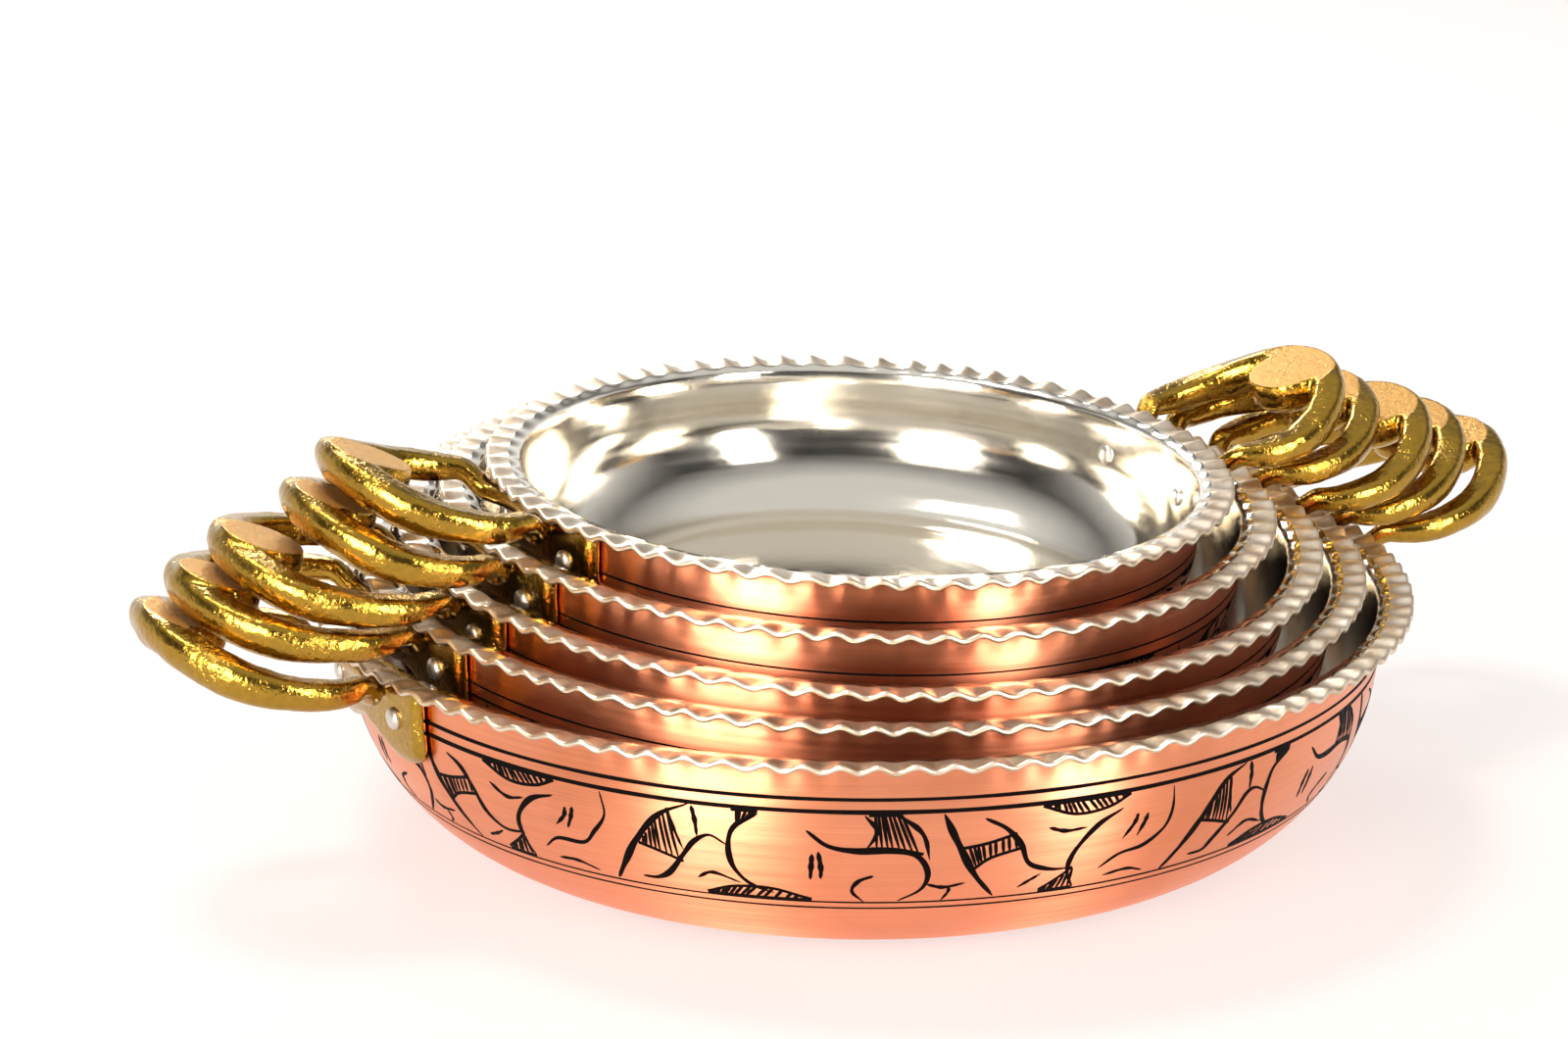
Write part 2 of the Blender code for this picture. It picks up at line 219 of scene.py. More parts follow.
line_tint = add(tree, "ShaderNodeMapRange", {"Value": lines.outputs["Fac"], "From Min": 0.3, "From Max": 0.7})
line_tint.inputs["To Min"].default_value = 0.90
line_tint.inputs["To Max"].default_value = 1.05
shaded = add(
    tree,
    "ShaderNodeVectorMath",
    {0: tint.outputs[2], "Scale": line_tint.outputs[0]},
    operation="SCALE",
)
gloss = add(tree, "ShaderNodeMapRange", {"Value": bands.outputs["Fac"], "From Min": 0.3, "From Max": 0.7})
gloss.inputs["To Min"].default_value = 0.29
gloss.inputs["To Max"].default_value = 0.37
relief = add(tree, "ShaderNodeBump", {"Height": lines.outputs["Fac"], "Distance": 0.00002, "Strength": 0.5})
along = add(tree, "ShaderNodeTangent", direction_type="UV_MAP", uv_map="turning")
tree.links.new(shaded.outputs[0], shader.inputs["Base Color"])
tree.links.new(gloss.outputs[0], shader.inputs["Roughness"])
tree.links.new(relief.outputs[0], shader.inputs["Normal"])
tree.links.new(along.outputs[0], shader.inputs["Tangent"])
shader.inputs["Metallic"].default_value = 1.0
shader.inputs["Anisotropic"].default_value = 0.95
shader.inputs["Anisotropic Rotation"].default_value = 0.25

# Tin, wiped on hot with a cloth and left to freeze: a soft silver mirror, slightly warm, with faint swirled
# wipe marks round the pan and duller patches.
tin, tree, shader = new_finish("wiped tin lining")
turning = add(tree, "ShaderNodeUVMap", uv_map="turning")
wipes_at = add(tree, "ShaderNodeMapping", {"Vector": turning.outputs["UV"], "Scale": (14.0, 420.0, 1.0)})
wipes = add(tree, "ShaderNodeTexNoise", {"Vector": wipes_at.outputs[0], "Scale": 1.0, "Detail": 4.0})
place = add(tree, "ShaderNodeTexCoord")
patches = add(tree, "ShaderNodeTexNoise", {"Vector": place.outputs["Object"], "Scale": 40.0, "Detail": 3.0})
dull = add(tree, "ShaderNodeMath", {0: wipes.outputs["Fac"], 1: patches.outputs["Fac"]}, operation="ADD")
gloss = add(tree, "ShaderNodeMapRange", {"Value": dull.outputs[0], "From Min": 0.75, "From Max": 1.25})
gloss.inputs["To Min"].default_value = 0.08
gloss.inputs["To Max"].default_value = 0.18
relief = add(tree, "ShaderNodeBump", {"Height": wipes.outputs["Fac"], "Distance": 0.00005, "Strength": 0.35})
ripple = add(tree, "ShaderNodeBump", {"Height": patches.outputs["Fac"], "Distance": 0.0006, "Strength": 0.25})
tree.links.new(relief.outputs[0], ripple.inputs["Normal"])
tree.links.new(gloss.outputs[0], shader.inputs["Roughness"])
tree.links.new(ripple.outputs[0], shader.inputs["Normal"])
shader.inputs["Base Color"].default_value = linear("#EAE3D6")
shader.inputs["Metallic"].default_value = 1.0

# The same tin on the crimped flange, rubbed by hands and by the stack: duller, and warm where it is thin.
worn_tin, tree, shader = new_finish("rubbed tin on the flange")
place = add(tree, "ShaderNodeTexCoord")
rub = add(tree, "ShaderNodeTexNoise", {"Vector": place.outputs["Object"], "Scale": 260.0, "Detail": 3.0})
share = add(tree, "ShaderNodeMapRange", {"Value": rub.outputs["Fac"], "From Min": 0.35, "From Max": 0.7})
tint = add(
    tree,
    "ShaderNodeMix",
    {0: share.outputs[0], 6: linear("#E2D4C0"), 7: linear("#C4AB8E")},
    data_type="RGBA",
)
relief = add(tree, "ShaderNodeBump", {"Height": rub.outputs["Fac"], "Distance": 0.0001, "Strength": 0.4})
tree.links.new(tint.outputs[2], shader.inputs["Base Color"])
tree.links.new(relief.outputs[0], shader.inputs["Normal"])
shader.inputs["Metallic"].default_value = 1.0
shader.inputs["Roughness"].default_value = 0.36


FINISHES = (copper, tin, worn_tin)


def crimp_tree():
    """Geometry nodes that wave a turned shell's flange, flute the wall under it, and coat each surface."""
    tree = bpy.data.node_groups.new("crimp", "GeometryNodeTree")
    panel = tree.interface
    panel.new_socket("Geometry", in_out="INPUT", socket_type="NodeSocketGeometry")
    for name in ("Waves", "Rise", "Wall", "Flange", "Flute", "Rim", "Phase"):
        panel.new_socket(name, in_out="INPUT", socket_type="NodeSocketFloat")
    panel.new_socket("Geometry", in_out="OUTPUT", socket_type="NodeSocketGeometry")
    given = add(tree, "NodeGroupInput").outputs
    at = add(tree, "GeometryNodeInputPosition")
    parts = add(tree, "ShaderNodeSeparateXYZ", {0: at.outputs[0]})
    angle = add(tree, "ShaderNodeMath", {0: parts.outputs[1], 1: parts.outputs[0]}, operation="ARCTAN2")
    flat = add(tree, "ShaderNodeCombineXYZ", {0: parts.outputs[0], 1: parts.outputs[1]})
    out = add(tree, "ShaderNodeVectorMath", {0: flat.outputs[0]}, operation="LENGTH")
    away = add(tree, "ShaderNodeVectorMath", {0: flat.outputs[0]}, operation="NORMALIZE")
    turns = add(tree, "ShaderNodeMath", {0: angle.outputs[0], 1: given["Waves"]}, operation="MULTIPLY")
    # The rollers slip a little, so the waves drift in step and in depth round the rim.
    slip = add(tree, "ShaderNodeTexNoise", {"Vector": away.outputs[0], "Scale": 3.0}, noise_dimensions="4D")
    tree.links.new(given["Phase"], slip.inputs["W"])
    drift = add(
        tree,
        "ShaderNodeMath",
        {0: slip.outputs[0], 1: 7.0, 2: turns.outputs[0]},
        operation="MULTIPLY_ADD",
    )
    wave = add(tree, "ShaderNodeMath", {0: drift.outputs[0]}, operation="SINE")
    depth = add(tree, "ShaderNodeTexNoise", {"Vector": away.outputs[0], "Scale": 9.0}, noise_dimensions="4D")
    tree.links.new(given["Phase"], depth.inputs["W"])
    uneven = add(tree, "ShaderNodeMapRange", {"Value": depth.outputs[0], "From Min": 0.3, "From Max": 0.7})
    uneven.inputs["To Min"].default_value = 0.78
    uneven.inputs["To Max"].default_value = 1.0
    swing = add(tree, "ShaderNodeMath", {0: wave.outputs[0], 1: uneven.outputs[0]}, operation="MULTIPLY")
    past = add(tree, "ShaderNodeMath", {0: out.outputs["Value"], 1: given["Wall"]}, operation="SUBTRACT")
    share = add(
        tree,
        "ShaderNodeMapRange",
        {"Value": past.outputs[0], "From Min": 0.0, "From Max": given["Flange"]},
        interpolation_type="SMOOTHERSTEP",
    )
    reach = add(tree, "ShaderNodeMath", {0: share.outputs[0], 1: 0.5}, operation="POWER")
    lift = add(tree, "ShaderNodeMath", {0: swing.outputs[0], 1: given["Rise"]}, operation="MULTIPLY")
    lift = add(tree, "ShaderNodeMath", {0: lift.outputs[0], 1: reach.outputs[0]}, operation="MULTIPLY")
    rise = add(tree, "ShaderNodeCombineXYZ", {2: lift.outputs[0]})
    below = add(tree, "ShaderNodeMath", {0: given["Rim"], 1: parts.outputs[2]}, operation="SUBTRACT")
    fade = add(tree, "ShaderNodeMapRange", {"Value": below.outputs[0], "From Min": 0.0012, "From Max": 0.0085})
    fade.inputs["To Min"].default_value = 1.0
    fade.inputs["To Max"].default_value = 0.0
    # The flutes stay on the wall's outer face, so that the tin inside is smooth.
    skin = add(tree, "ShaderNodeMath", {0: past.outputs[0], 1: -0.00015, 2: 0.00065}, operation="COMPARE")
    flute = add(tree, "ShaderNodeMath", {0: swing.outputs[0], 1: given["Flute"]}, operation="MULTIPLY")
    flute = add(tree, "ShaderNodeMath", {0: flute.outputs[0], 1: fade.outputs[0]}, operation="MULTIPLY")
    flute = add(tree, "ShaderNodeMath", {0: flute.outputs[0], 1: skin.outputs[0]}, operation="MULTIPLY")
    push = add(tree, "ShaderNodeVectorMath", {0: away.outputs[0], "Scale": flute.outputs[0]}, operation="SCALE")
    move = add(tree, "ShaderNodeVectorMath", {0: rise.outputs[0], 1: push.outputs[0]}, operation="ADD")
    moved = add(tree, "GeometryNodeSetPosition", {"Geometry": given["Geometry"], "Offset": move.outputs[0]})
    coated = add(tree, "GeometryNodeRealizeInstances", {0: moved.outputs[0]})
    finish = add(tree, "GeometryNodeInputNamedAttribute", {"Name": "finish"}, data_type="INT")
    for index, material in enumerate(FINISHES):
        here = add(
            tree,
            "FunctionNodeCompare",
            {2: finish.outputs[0], 3: index},
            data_type="INT",
            operation="EQUAL",
        )
        coated = add(
            tree,
            "GeometryNodeSetMaterial",
            {0: coated.outputs[0], "Selection": here.outputs[0], "Material": material},
        )
    add(tree, "NodeGroupOutput", {0: coated.outputs[0]})
    return tree


def set_inputs(modifier, values):
    """Fills a modifier's node inputs by each socket's identifier."""
    for item in modifier.node_group.interface.items_tree:
        if item.in_out == "INPUT" and item.name in values:
            modifier[item.identifier] = values[item.name]


def finished(obj, name, matrix):
    """The evaluated object as a plain mesh object with its place in its mesh. The maker is removed."""
    graph = bpy.context.evaluated_depsgraph_get()
    graph.update()
    mesh = bpy.data.meshes.new_from_object(obj.evaluated_get(graph), depsgraph=graph)
    mesh.name = name
    mesh.transform(matrix)
    bpy.data.objects.remove(obj)
    made = bpy.data.objects.new(name, mesh)
    bpy.context.scene.collection.objects.link(made)
    return made


def turned_shell(seat):
    """The shell's section swept round in whole waves, with UVs in metres round it and along the section."""
    inner, flange, outer = shell_profile(seat)
    section = inner + flange + outer
    steps = WAVES[seat.number] * STEPS_PER_WAVE
    runs = [0.0]
    for before, here in zip(section, section[1:]):
        runs.append(runs[-1] + math.dist(before, here))
    finishes = [1] * len(inner) + [2] * len(flange) + [0] * (len(outer) - 1)
    angles = np.arange(steps) * 2 * math.pi / steps
    rings = section[1:-1]
    points = [(0.0, 0.0, section[0][1])]
    for radius, z in rings:
        points += [(radius * math.cos(a), radius * math.sin(a), z) for a in angles]
    points.append((0.0, 0.0, section[-1][1]))
    last = len(points) - 1
    faces, slots, uvs = [], [], []
    lap = 2 * math.pi * seat.wall
    for index in range(len(section) - 1):
        low, high = runs[index], runs[index + 1]
        start = 1 + (index - 1) * steps
        for step in range(steps):
            following = (step + 1) % steps
            u, v = step / steps * lap, (step + 1) / steps * lap
            if index == 0:
                faces.append((0, 1 + step, 1 + following))
                uvs += [((u + v) / 2, low), (u, high), (v, high)]
            elif index == len(section) - 2:
                faces.append((start + step, last, start + following))
                uvs += [(u, low), ((u + v) / 2, high), (v, low)]
            else:
                ahead = start + steps
                faces.append((start + step, ahead + step, ahead + following, start + following))
                uvs += [(u, low), (u, high), (v, high), (v, low)]
            slots.append(finishes[index])
    mesh = bpy.data.meshes.new("turned")
    mesh.from_pydata(points, [], faces)
    layer = mesh.attributes.new("finish", "INT", "FACE")
    layer.data.foreach_set("value", slots)
    mesh.polygons.foreach_set("use_smooth", [True] * len(faces))
    layer = mesh.uv_layers.new(name="turning")
    layer.data.foreach_set("uv", [value for pair in uvs for value in pair])
    mesh.update()
    made = bpy.data.objects.new("turned", mesh)
    bpy.context.scene.collection.objects.link(made)
    return made


crimp = crimp_tree()
for number, seat in SEATS.items():
    blank = turned_shell(seat)
    rollers = blank.modifiers.new("crimp", "NODES")
    rollers.node_group = crimp
    set_inputs(
        rollers,
        {
            "Waves": float(WAVES[number]),
            "Rise": WAVE_RISE,
            "Wall": seat.wall,
            "Flange": FLANGE,
            "Flute": FLUTE,
            "Rim": seat.height,
            "Phase": 3.7 * number,
        },
    )
    shell = finished(blank, f"shell_of_pan_{number}", seat.matrix)
    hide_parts(f"pan_{number}_shell")
    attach(shell, f"pan_{number}")

# ---------------------------------------------------------------------------------------------------------
# The engraving. A hand graver cut a band of scrolls between two pairs of turned lines round each wall, and
# the cuts were filled with black. Each stroke is a thin inlay that stands a hair over the copper.

STROKE_PROUD = 0.00003
STROKE_DEEP = 0.00020
LINES = ((0.0096, 0.00080), (0.0122, 0.00092), (0.0335, 0.00040), (0.0351, 0.00042))  # under pan 5's rim
SMALL_LINE_DROP = 0.0017  # on the smaller pans the upper lines sit this much lower
SMALL_LINE_WIDTH = 0.55  # and all their lines are this share as wide
LINE_STEPS = 240
REPEAT = 0.119  # the pattern's length round the largest wall
START = {5: 0.0718, 4: 0.031, 3: 0.094, 2: 0.012, 1: 0.055}  # where it starts on each wall
FULL_CUT = 0.0015  # the graver's widest cut
LEAF_EDGE = 0.0007
CUT_WIDTHS = np.array([0.55, 0.75, 0.7, 0.3]) * 0.001  # along each hatching cut
CUT_LEAN = 0.6  # mm that a cut's top leans forward

# Strokes of one repeat: share of the widest cut, then points (mm round the wall, share of the band's height)
SCROLLS = (
    (0.95, ((2, 0.01), (5, 0.25), (9, 0.55), (14, 0.85), (20, 0.98))),
    (0.80, ((8, 0.12), (12, 0.10), (15, 0.22), (18, 0.45), (21, 0.62), (24, 0.66), (27.5, 0.59))),
    (0.50, ((15.2, 0.92), (16.4, 0.66), (18.4, 0.46))),
    (0.70, ((21.3, 0.97), (21.6, 0.82), (21.7, 0.66))),
    (0.80, ((34, 0.95), (29.5, 0.80), (27.6, 0.60), (28.6, 0.36), (32, 0.19), (36, 0.09))),
    (0.55, ((19.5, 0.19), (24, 0.28), (29.5, 0.22))),
    (0.75, ((44.2, 0.56), (43.8, 0.42), (43.6, 0.27))),
    (0.75, ((46.4, 0.58), (46.0, 0.42), (45.7, 0.27))),
    (
        0.90,
        ((43, 0.81), (47, 0.66), (53, 0.61), (60, 0.61), (65.4, 0.55), (67.4, 0.36), (66, 0.17), (62, 0.02)),
    ),
    (0.60, ((55.4, 0.98), (57, 0.82), (55.2, 0.63))),
    (0.70, ((61.5, 0.98), (65.5, 0.78), (67.2, 0.50))),
    (0.60, ((57, 0.33), (53, 0.24), (52.2, 0.13), (54.4, 0.03))),
    (1.05, ((70.5, 0.98), (73, 0.63), (77, 0.30), (82, 0.02))),
    (0.55, ((67.4, 0.23), (71, 0.19), (75.5, 0.22))),
    (0.50, ((71.8, 0.18), (71.4, 0.09), (70.6, 0.02))),
    (0.80, ((78.5, 0.89), (82.5, 0.79), (86, 0.60), (89, 0.38), (93, 0.27), (98, 0.27))),
    (0.60, ((91, 0.76), (95, 0.68), (100, 0.71))),
    (0.80, ((108, 0.82), (102, 0.70), (98, 0.46), (97.3, 0.22), (99.4, 0.02))),
    (0.50, ((86.5, 0.10), (89, 0.17), (91.5, 0.24))),
    (0.65, ((111.5, 0.74), (110.4, 0.63), (109, 0.50))),
    (0.65, ((113.6, 0.74), (112.6, 0.63), (111.2, 0.50))),
    (0.60, ((104, 0.22), (108, 0.34), (114, 0.38), (118, 0.52), (120, 0.72), (119.4, 0.96))),
    (0.50, ((106, 0.10), (111, 0.13), (116, 0.08))),
)
# Hatched leaves: two edges as point runs, and how many cuts lie between them
LEAVES = (
    (((8.6, 0.52), (12, 0.76), (15.6, 0.90)), ((8.6, 0.50), (13, 0.44), (18, 0.36)), 8),
    (((22, 0.03), (28, 0.13), (36, 0.14), (44, 0.03)), ((22, 0.02), (30, 0.02), (44, 0.02)), 14),
    (((55.6, 0.97), (58.5, 0.97), (62, 0.97)), ((56, 0.63), (61, 0.62), (66.4, 0.56)), 8),
    (((28.6, 0.97), (31, 0.97), (34, 0.97)), ((29.4, 0.83), (30.6, 0.86), (33, 0.92)), 5),
    (((73.8, 0.60), (79, 0.64), (85, 0.72)), ((76.5, 0.36), (80, 0.48), (86.2, 0.56)), 9),
    (((90, 0.98), (98, 0.98), (109, 0.98)), ((90, 0.97), (97, 0.85), (104, 0.87), (109, 0.97)), 15),
    (((91.5, 0.04), (95.5, 0.17), (98, 0.27)), ((91.5, 0.02), (95, 0.02), (99, 0.02)), 6),
)


def smooth_run(corners, count):
    """Points along a smooth curve through the corners, with so many for each stretch."""
    corners = np.array(corners, float)
    ends = np.vstack([2 * corners[0] - corners[1], corners, 2 * corners[-1] - corners[-2]])
    run = []
    for index in range(len(corners) - 1):
        a, b, c, d = ends[index : index + 4]
        for share in np.linspace(0, 1, count, endpoint=index == len(corners) - 2):
            run.append(
                0.5 * (2 * b + (c - a) * share + (2 * a - 5 * b + 4 * c - d) * share**2)
                + 0.5 * (3 * b - a - 3 * c + d) * share**3
            )
    return np.array(run)


def lay_stroke(shape, seat, run, widths):
    """Adds one inlaid stroke: run is (metres round the wall, height), and widths are in metres."""
    rings = []
    along = np.gradient(run, axis=0)
    length = np.linalg.norm(along, axis=1)
    along /= np.maximum(length, 1e-9)[:, None]
    for (u, z), (du, dz), width in zip(run, along, widths):
        ring = []
        for side, depth in ((1, 1), (-1, 1), (-1, -1), (1, -1)):
            su = u - dz * side * width / 2
            sz = z + du * side * width / 2
            radius = seat.outside(sz)
            lean = math.atan2(seat.outside(sz + 0.0003) - seat.outside(sz - 0.0003), 0.0006)
            depth_out = STROKE_PROUD if depth > 0 else -STROKE_DEEP
            radius += depth_out * math.cos(lean)
            angle = su / seat.wall
            place = (radius * math.cos(angle), radius * math.sin(angle), sz - depth_out * math.sin(lean))
            ring.append(shape.verts.new(place))
        rings.append(ring)
    for here, after in zip(rings, rings[1:]):
        for index in range(4):
            following = (index + 1) % 4
            shape.faces.new((here[index], after[index], after[following], here[following]))
    shape.faces.new(rings[0])
    shape.faces.new(rings[-1][::-1])


def lay_line(shape, seat, drop, width):
    """A line turned right round the wall."""
    z = seat.height - drop
    rings = []
    for step in range(LINE_STEPS):
        angle = 2 * math.pi * step / LINE_STEPS
        uneven = noise.noise(Vector((math.cos(angle) * 6, math.sin(angle) * 6, drop * 999)))
        swell = width * (1 + 0.25 * uneven)
        ring = []
        for side, depth in ((1, 1), (-1, 1), (-1, -1), (1, -1)):
            at = z + side * swell / 2
            radius = seat.outside(at) + (STROKE_PROUD if depth > 0 else -STROKE_DEEP)
            ring.append(shape.verts.new((radius * math.cos(angle), radius * math.sin(angle), at)))
        rings.append(ring)
    for here, after in zip(rings, rings[1:] + rings[:1]):
        for index in range(4):
            following = (index + 1) % 4
            shape.faces.new((here[index], after[index], after[following], here[following]))


def on_edge(edge, share):
    """The point at a share of the way along a leaf's edge."""
    shares = np.linspace(0, 1, len(edge))
    return np.array([np.interp(share, shares, edge[:, 0]), np.interp(share, shares, edge[:, 1])])


def on_band(run, start, repeat, low, high):
    """A run of (mm round the wall, share of the band's height) as (metres round the wall, height)."""
    return np.column_stack([start + run[:, 0] / 1000 / REPEAT * repeat, low + run[:, 1] * high])


# Black wax rubbed into the cuts: nearly black and matt to satin, with almost no shine of its own.
black_fill, tree, shader = new_finish("black wax in the engraving")
place = add(tree, "ShaderNodeTexCoord")
wear = add(tree, "ShaderNodeTexNoise", {"Vector": place.outputs["Object"], "Scale": 900.0, "Detail": 2.0})
gloss = add(tree, "ShaderNodeMapRange", {"Value": wear.outputs["Fac"], "From Min": 0.3, "From Max": 0.7})
gloss.inputs["To Min"].default_value = 0.4
gloss.inputs["To Max"].default_value = 0.7
tree.links.new(gloss.outputs[0], shader.inputs["Roughness"])
shader.inputs["Base Color"].default_value = linear("#0A0504")
shader.inputs["Specular IOR Level"].default_value = 0.04

for number, seat in SEATS.items():
    shape = bmesh.new()
    pair_foot = LINES[1][0]
    scale = (seat.height - pair_foot) / (SEATS[5].height - pair_foot)
    upper = [drop for drop, _ in LINES[:2]]
    lower = [pair_foot + (drop - pair_foot) * scale for drop, _ in LINES[2:]]
    fineness = 1.0
    if number < 5:
        upper = [drop + SMALL_LINE_DROP for drop in upper]
        fineness = SMALL_LINE_WIDTH
    for drop, (_, width) in zip(upper + lower, LINES):
        lay_line(shape, seat, drop, width * fineness)
    lap = 2 * math.pi * seat.wall
    repeats = round(lap / (REPEAT * scale**0.5))
    repeat = lap / repeats
    rng = np.random.default_rng(40 + number)
    for index in range(repeats):
        start = index * repeat + START[number]
        band = (start, repeat, seat.height - lower[0], lower[0] - upper[1])
        for width, corners in SCROLLS:
            corners = np.array(corners) + rng.normal(0, 1, (len(corners), 2)) * (0.35, 0.012)
            corners[:, 1] = corners[:, 1].clip(0.01, 0.99)
            run = on_band(smooth_run(corners, 7), *band)
            share = np.linspace(0, 1, len(run))
            swell = np.sin(math.pi * share**0.8) ** 0.6 * 0.85 + 0.15
            swell *= 1 + 0.18 * np.sin(share * 17 + rng.uniform(0, 6))
            lay_stroke(shape, seat, run, width * FULL_CUT * swell)
        for high, low, cuts in LEAVES:
            edges = [smooth_run(high, 9), smooth_run(low, 9)]
            for edge in edges:
                lay_stroke(shape, seat, on_band(edge, *band), np.full(len(edge), LEAF_EDGE))
            for cut in range(cuts):
                share = (cut + 0.9 + rng.uniform(-0.2, 0.2)) / (cuts + 0.6)
                top = on_edge(edges[0], share) + (CUT_LEAN, 0)
                run = np.linspace(top, on_edge(edges[1], share), len(CUT_WIDTHS))
                lay_stroke(shape, seat, on_band(run, *band), CUT_WIDTHS)
    bmesh.ops.recalc_face_normals(shape, faces=shape.faces)
    mesh = bpy.data.meshes.new(f"engraving_of_pan_{number}")
    shape.to_mesh(mesh)
    shape.free()
    mesh.transform(seat.matrix)
    mesh.materials.append(black_fill)
    engraving = bpy.data.objects.new(mesh.name, mesh)
    bpy.context.scene.collection.objects.link(engraving)
    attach(engraving, f"pan_{number}")

# ---------------------------------------------------------------------------------------------------------
# The handles. Each is one sand casting in yellow brass: a loop that sweeps up and out, a thick thumb pad at
# its tip that is ground flat, and a plate with two lobes that lies under the flange and is riveted on.

BAR = 0.0037
ROOT_BAR = 0.0021
REACH = {5: 0.0475, 4: 0.0455, 3: 0.0435, 2: 0.0415, 1: 0.0395}
LEFT_REACH = {5: -0.0020, 4: 0.0022, 3: 0.0036, 2: 0.0002, 1: 0.0038}  # added on the left side
HALF_WIDTH = {5: 0.026, 4: 0.025, 3: 0.024, 2: 0.023, 1: 0.022}
SHOULDER_REACH = 0.0122
SHOULDER_DROP = 0.0008
ROOT_OUT = 0.0003 + ROOT_BAR
ROOT_DROP = 0.0027 + ROOT_OUT
TIP_RISE = 0.0095
TIP_LIFT = {
    1: (0.0004, 0.0030),
    2: (0.0, 0.0005),
    3: (-0.0018, 0.0030),
    4: (-0.0022, 0.0030),
    5: (0.0020, 0.0032),
}
PAD_RADIUS = 0.0086
PAD_HEIGHT = 0.0042
PAD_STEEPEST = math.radians(20)
TIP_DEPTH = 0.0018  # how much deeper the bar is cast under the pad
BAR_FLAT = 0.76  # the bar's top is flat at this share of its radius
PLATE_HALF_WIDTH = 0.0255
PLATE_THICKNESS = 0.0026
PLATE_LOBE = 0.0205
PLATE_WAIST = 0.0165
PLATE_SIDE = 0.0160
RIVET_SPACING = 0.033
RIVET_DROP = 0.0107


def ease(share):
    share = min(max(share, 0), 1)
    return share * share * (3 - 2 * share)


class Loop:
    """The middle line of one handle's loop, in its pan's frame, built towards +X."""

    def __init__(self, seat, side):
        self.seat = seat
        self.side = side
        self.reach = REACH[seat.number] + (LEFT_REACH[seat.number] if side < 0 else 0)
        self.tip = TIP_RISE + TIP_LIFT[seat.number][0 if side < 0 else 1]

    def lift(self, out):
        """Height of the bar's middle over the rim, at a distance out from the wall."""
        rise = ease((out - FLANGE) / (SHOULDER_REACH - FLANGE))
        height = -ROOT_DROP + (ROOT_DROP - SHOULDER_DROP) * rise
        beyond = max(out - SHOULDER_REACH, 0) / (self.reach - SHOULDER_REACH)
        return height + (self.tip + SHOULDER_DROP) * beyond**2

    def slope(self, out):
        return (self.lift(out + 0.0001) - self.lift(out - 0.0001)) / 0.0002

    def middle(self, angle):
        """(place, bar radius) at an angle round the loop, with 0 at the tip."""
        half = (self.reach - ROOT_OUT) / 2
        power = 1 if math.cos(angle) > 0 else 2 / 2.2
        along = math.copysign(abs(math.cos(angle)) ** power, math.cos(angle))
        across = math.copysign(abs(math.sin(angle)) ** power, math.sin(angle))
        out = ROOT_OUT + half + half * along
        sideways = HALF_WIDTH[self.seat.number] * across
        wall = self.seat.wall
        set_back = (wall - math.sqrt(wall**2 - sideways**2)) * (1 - along) / 2
        radius = ROOT_BAR + (BAR - ROOT_BAR) * ease(1 + along)
        return Vector((wall + out - set_back, sideways, self.seat.height + self.lift(out))), radius


def tube_into(shape, loop, turns=132, sides=20):
    """The loop's round bar, closed on itself."""
    rings = []
    for step in range(turns):
        angle = 2 * math.pi * step / turns
        place, radius = loop.middle(angle)
        ahead = (loop.middle(angle + 0.01)[0] - loop.middle(angle - 0.01)[0]).normalized()
        side = ahead.cross(Vector((0, 0, 1))).normalized()
        up = side.cross(ahead)
        deeper = 1 + TIP_DEPTH / BAR * ease(math.cos(angle) * 1.6)
        ring = []
        for turn in range(sides):
            a = 2 * math.pi * turn / sides
            rise = min(math.sin(a) * (deeper if math.sin(a) < 0 else 1), BAR_FLAT)
            ring.append(shape.verts.new(place + side * math.cos(a) * radius + up * rise * radius))
        rings.append(ring)
    for here, after in zip(rings, rings[1:] + rings[:1]):
        for index in range(sides):
            following = (index + 1) % sides
            shape.faces.new((here[index], here[following], after[following], after[index]))


def pad_frame(loop):
    """The pad's own frame: its origin on the bar's middle line, its Z square to the ground face."""
    out = loop.reach + BAR - 0.0006 - PAD_RADIUS
    seat = loop.seat
    place = Vector((seat.wall + out, 0, seat.height + loop.lift(out)))
    steepness = min(math.atan(loop.slope(out)), PAD_STEEPEST)
    return Matrix.Translation(place) @ Matrix.Rotation(-steepness, 4, "Y")


def pad_into(shape, loop):
    """The pad's boss: broad at its face, drawn in underneath, with a soft cast edge."""
    profile = [(0.0, PAD_HEIGHT + 0.0010), (PAD_RADIUS - 0.0008, PAD_HEIGHT + 0.0009)]
    profile += [(PAD_RADIUS, PAD_HEIGHT), (PAD_RADIUS + 0.0006, PAD_HEIGHT - 0.0018)]
    profile += [(PAD_RADIUS + 0.0008, 0.0006), (PAD_RADIUS + 0.0004, -0.0018)]
    profile += [(PAD_RADIUS - 0.0012, -0.0036), (PAD_RADIUS - 0.0050, -0.0046), (0.0, -0.0048)]
    sides = 48
    matrix = pad_frame(loop)
    rings = []
    for radius, z in profile:
        if radius == 0:
            rings.append([shape.verts.new(matrix @ Vector((0, 0, z)))])
            continue
        ring = []
        for step in range(sides):
            a = 2 * math.pi * step / sides
            ring.append(shape.verts.new(matrix @ Vector((radius * math.cos(a), radius * math.sin(a), z))))
        rings.append(ring)
    for here, after in zip(rings, rings[1:]):
        for index in range(sides):
            following = (index + 1) % sides
            ends = [here[index % len(here)], after[index % len(after)]]
            ends += [after[following % len(after)], here[following % len(here)]]
            shape.faces.new(list(dict.fromkeys(ends)))


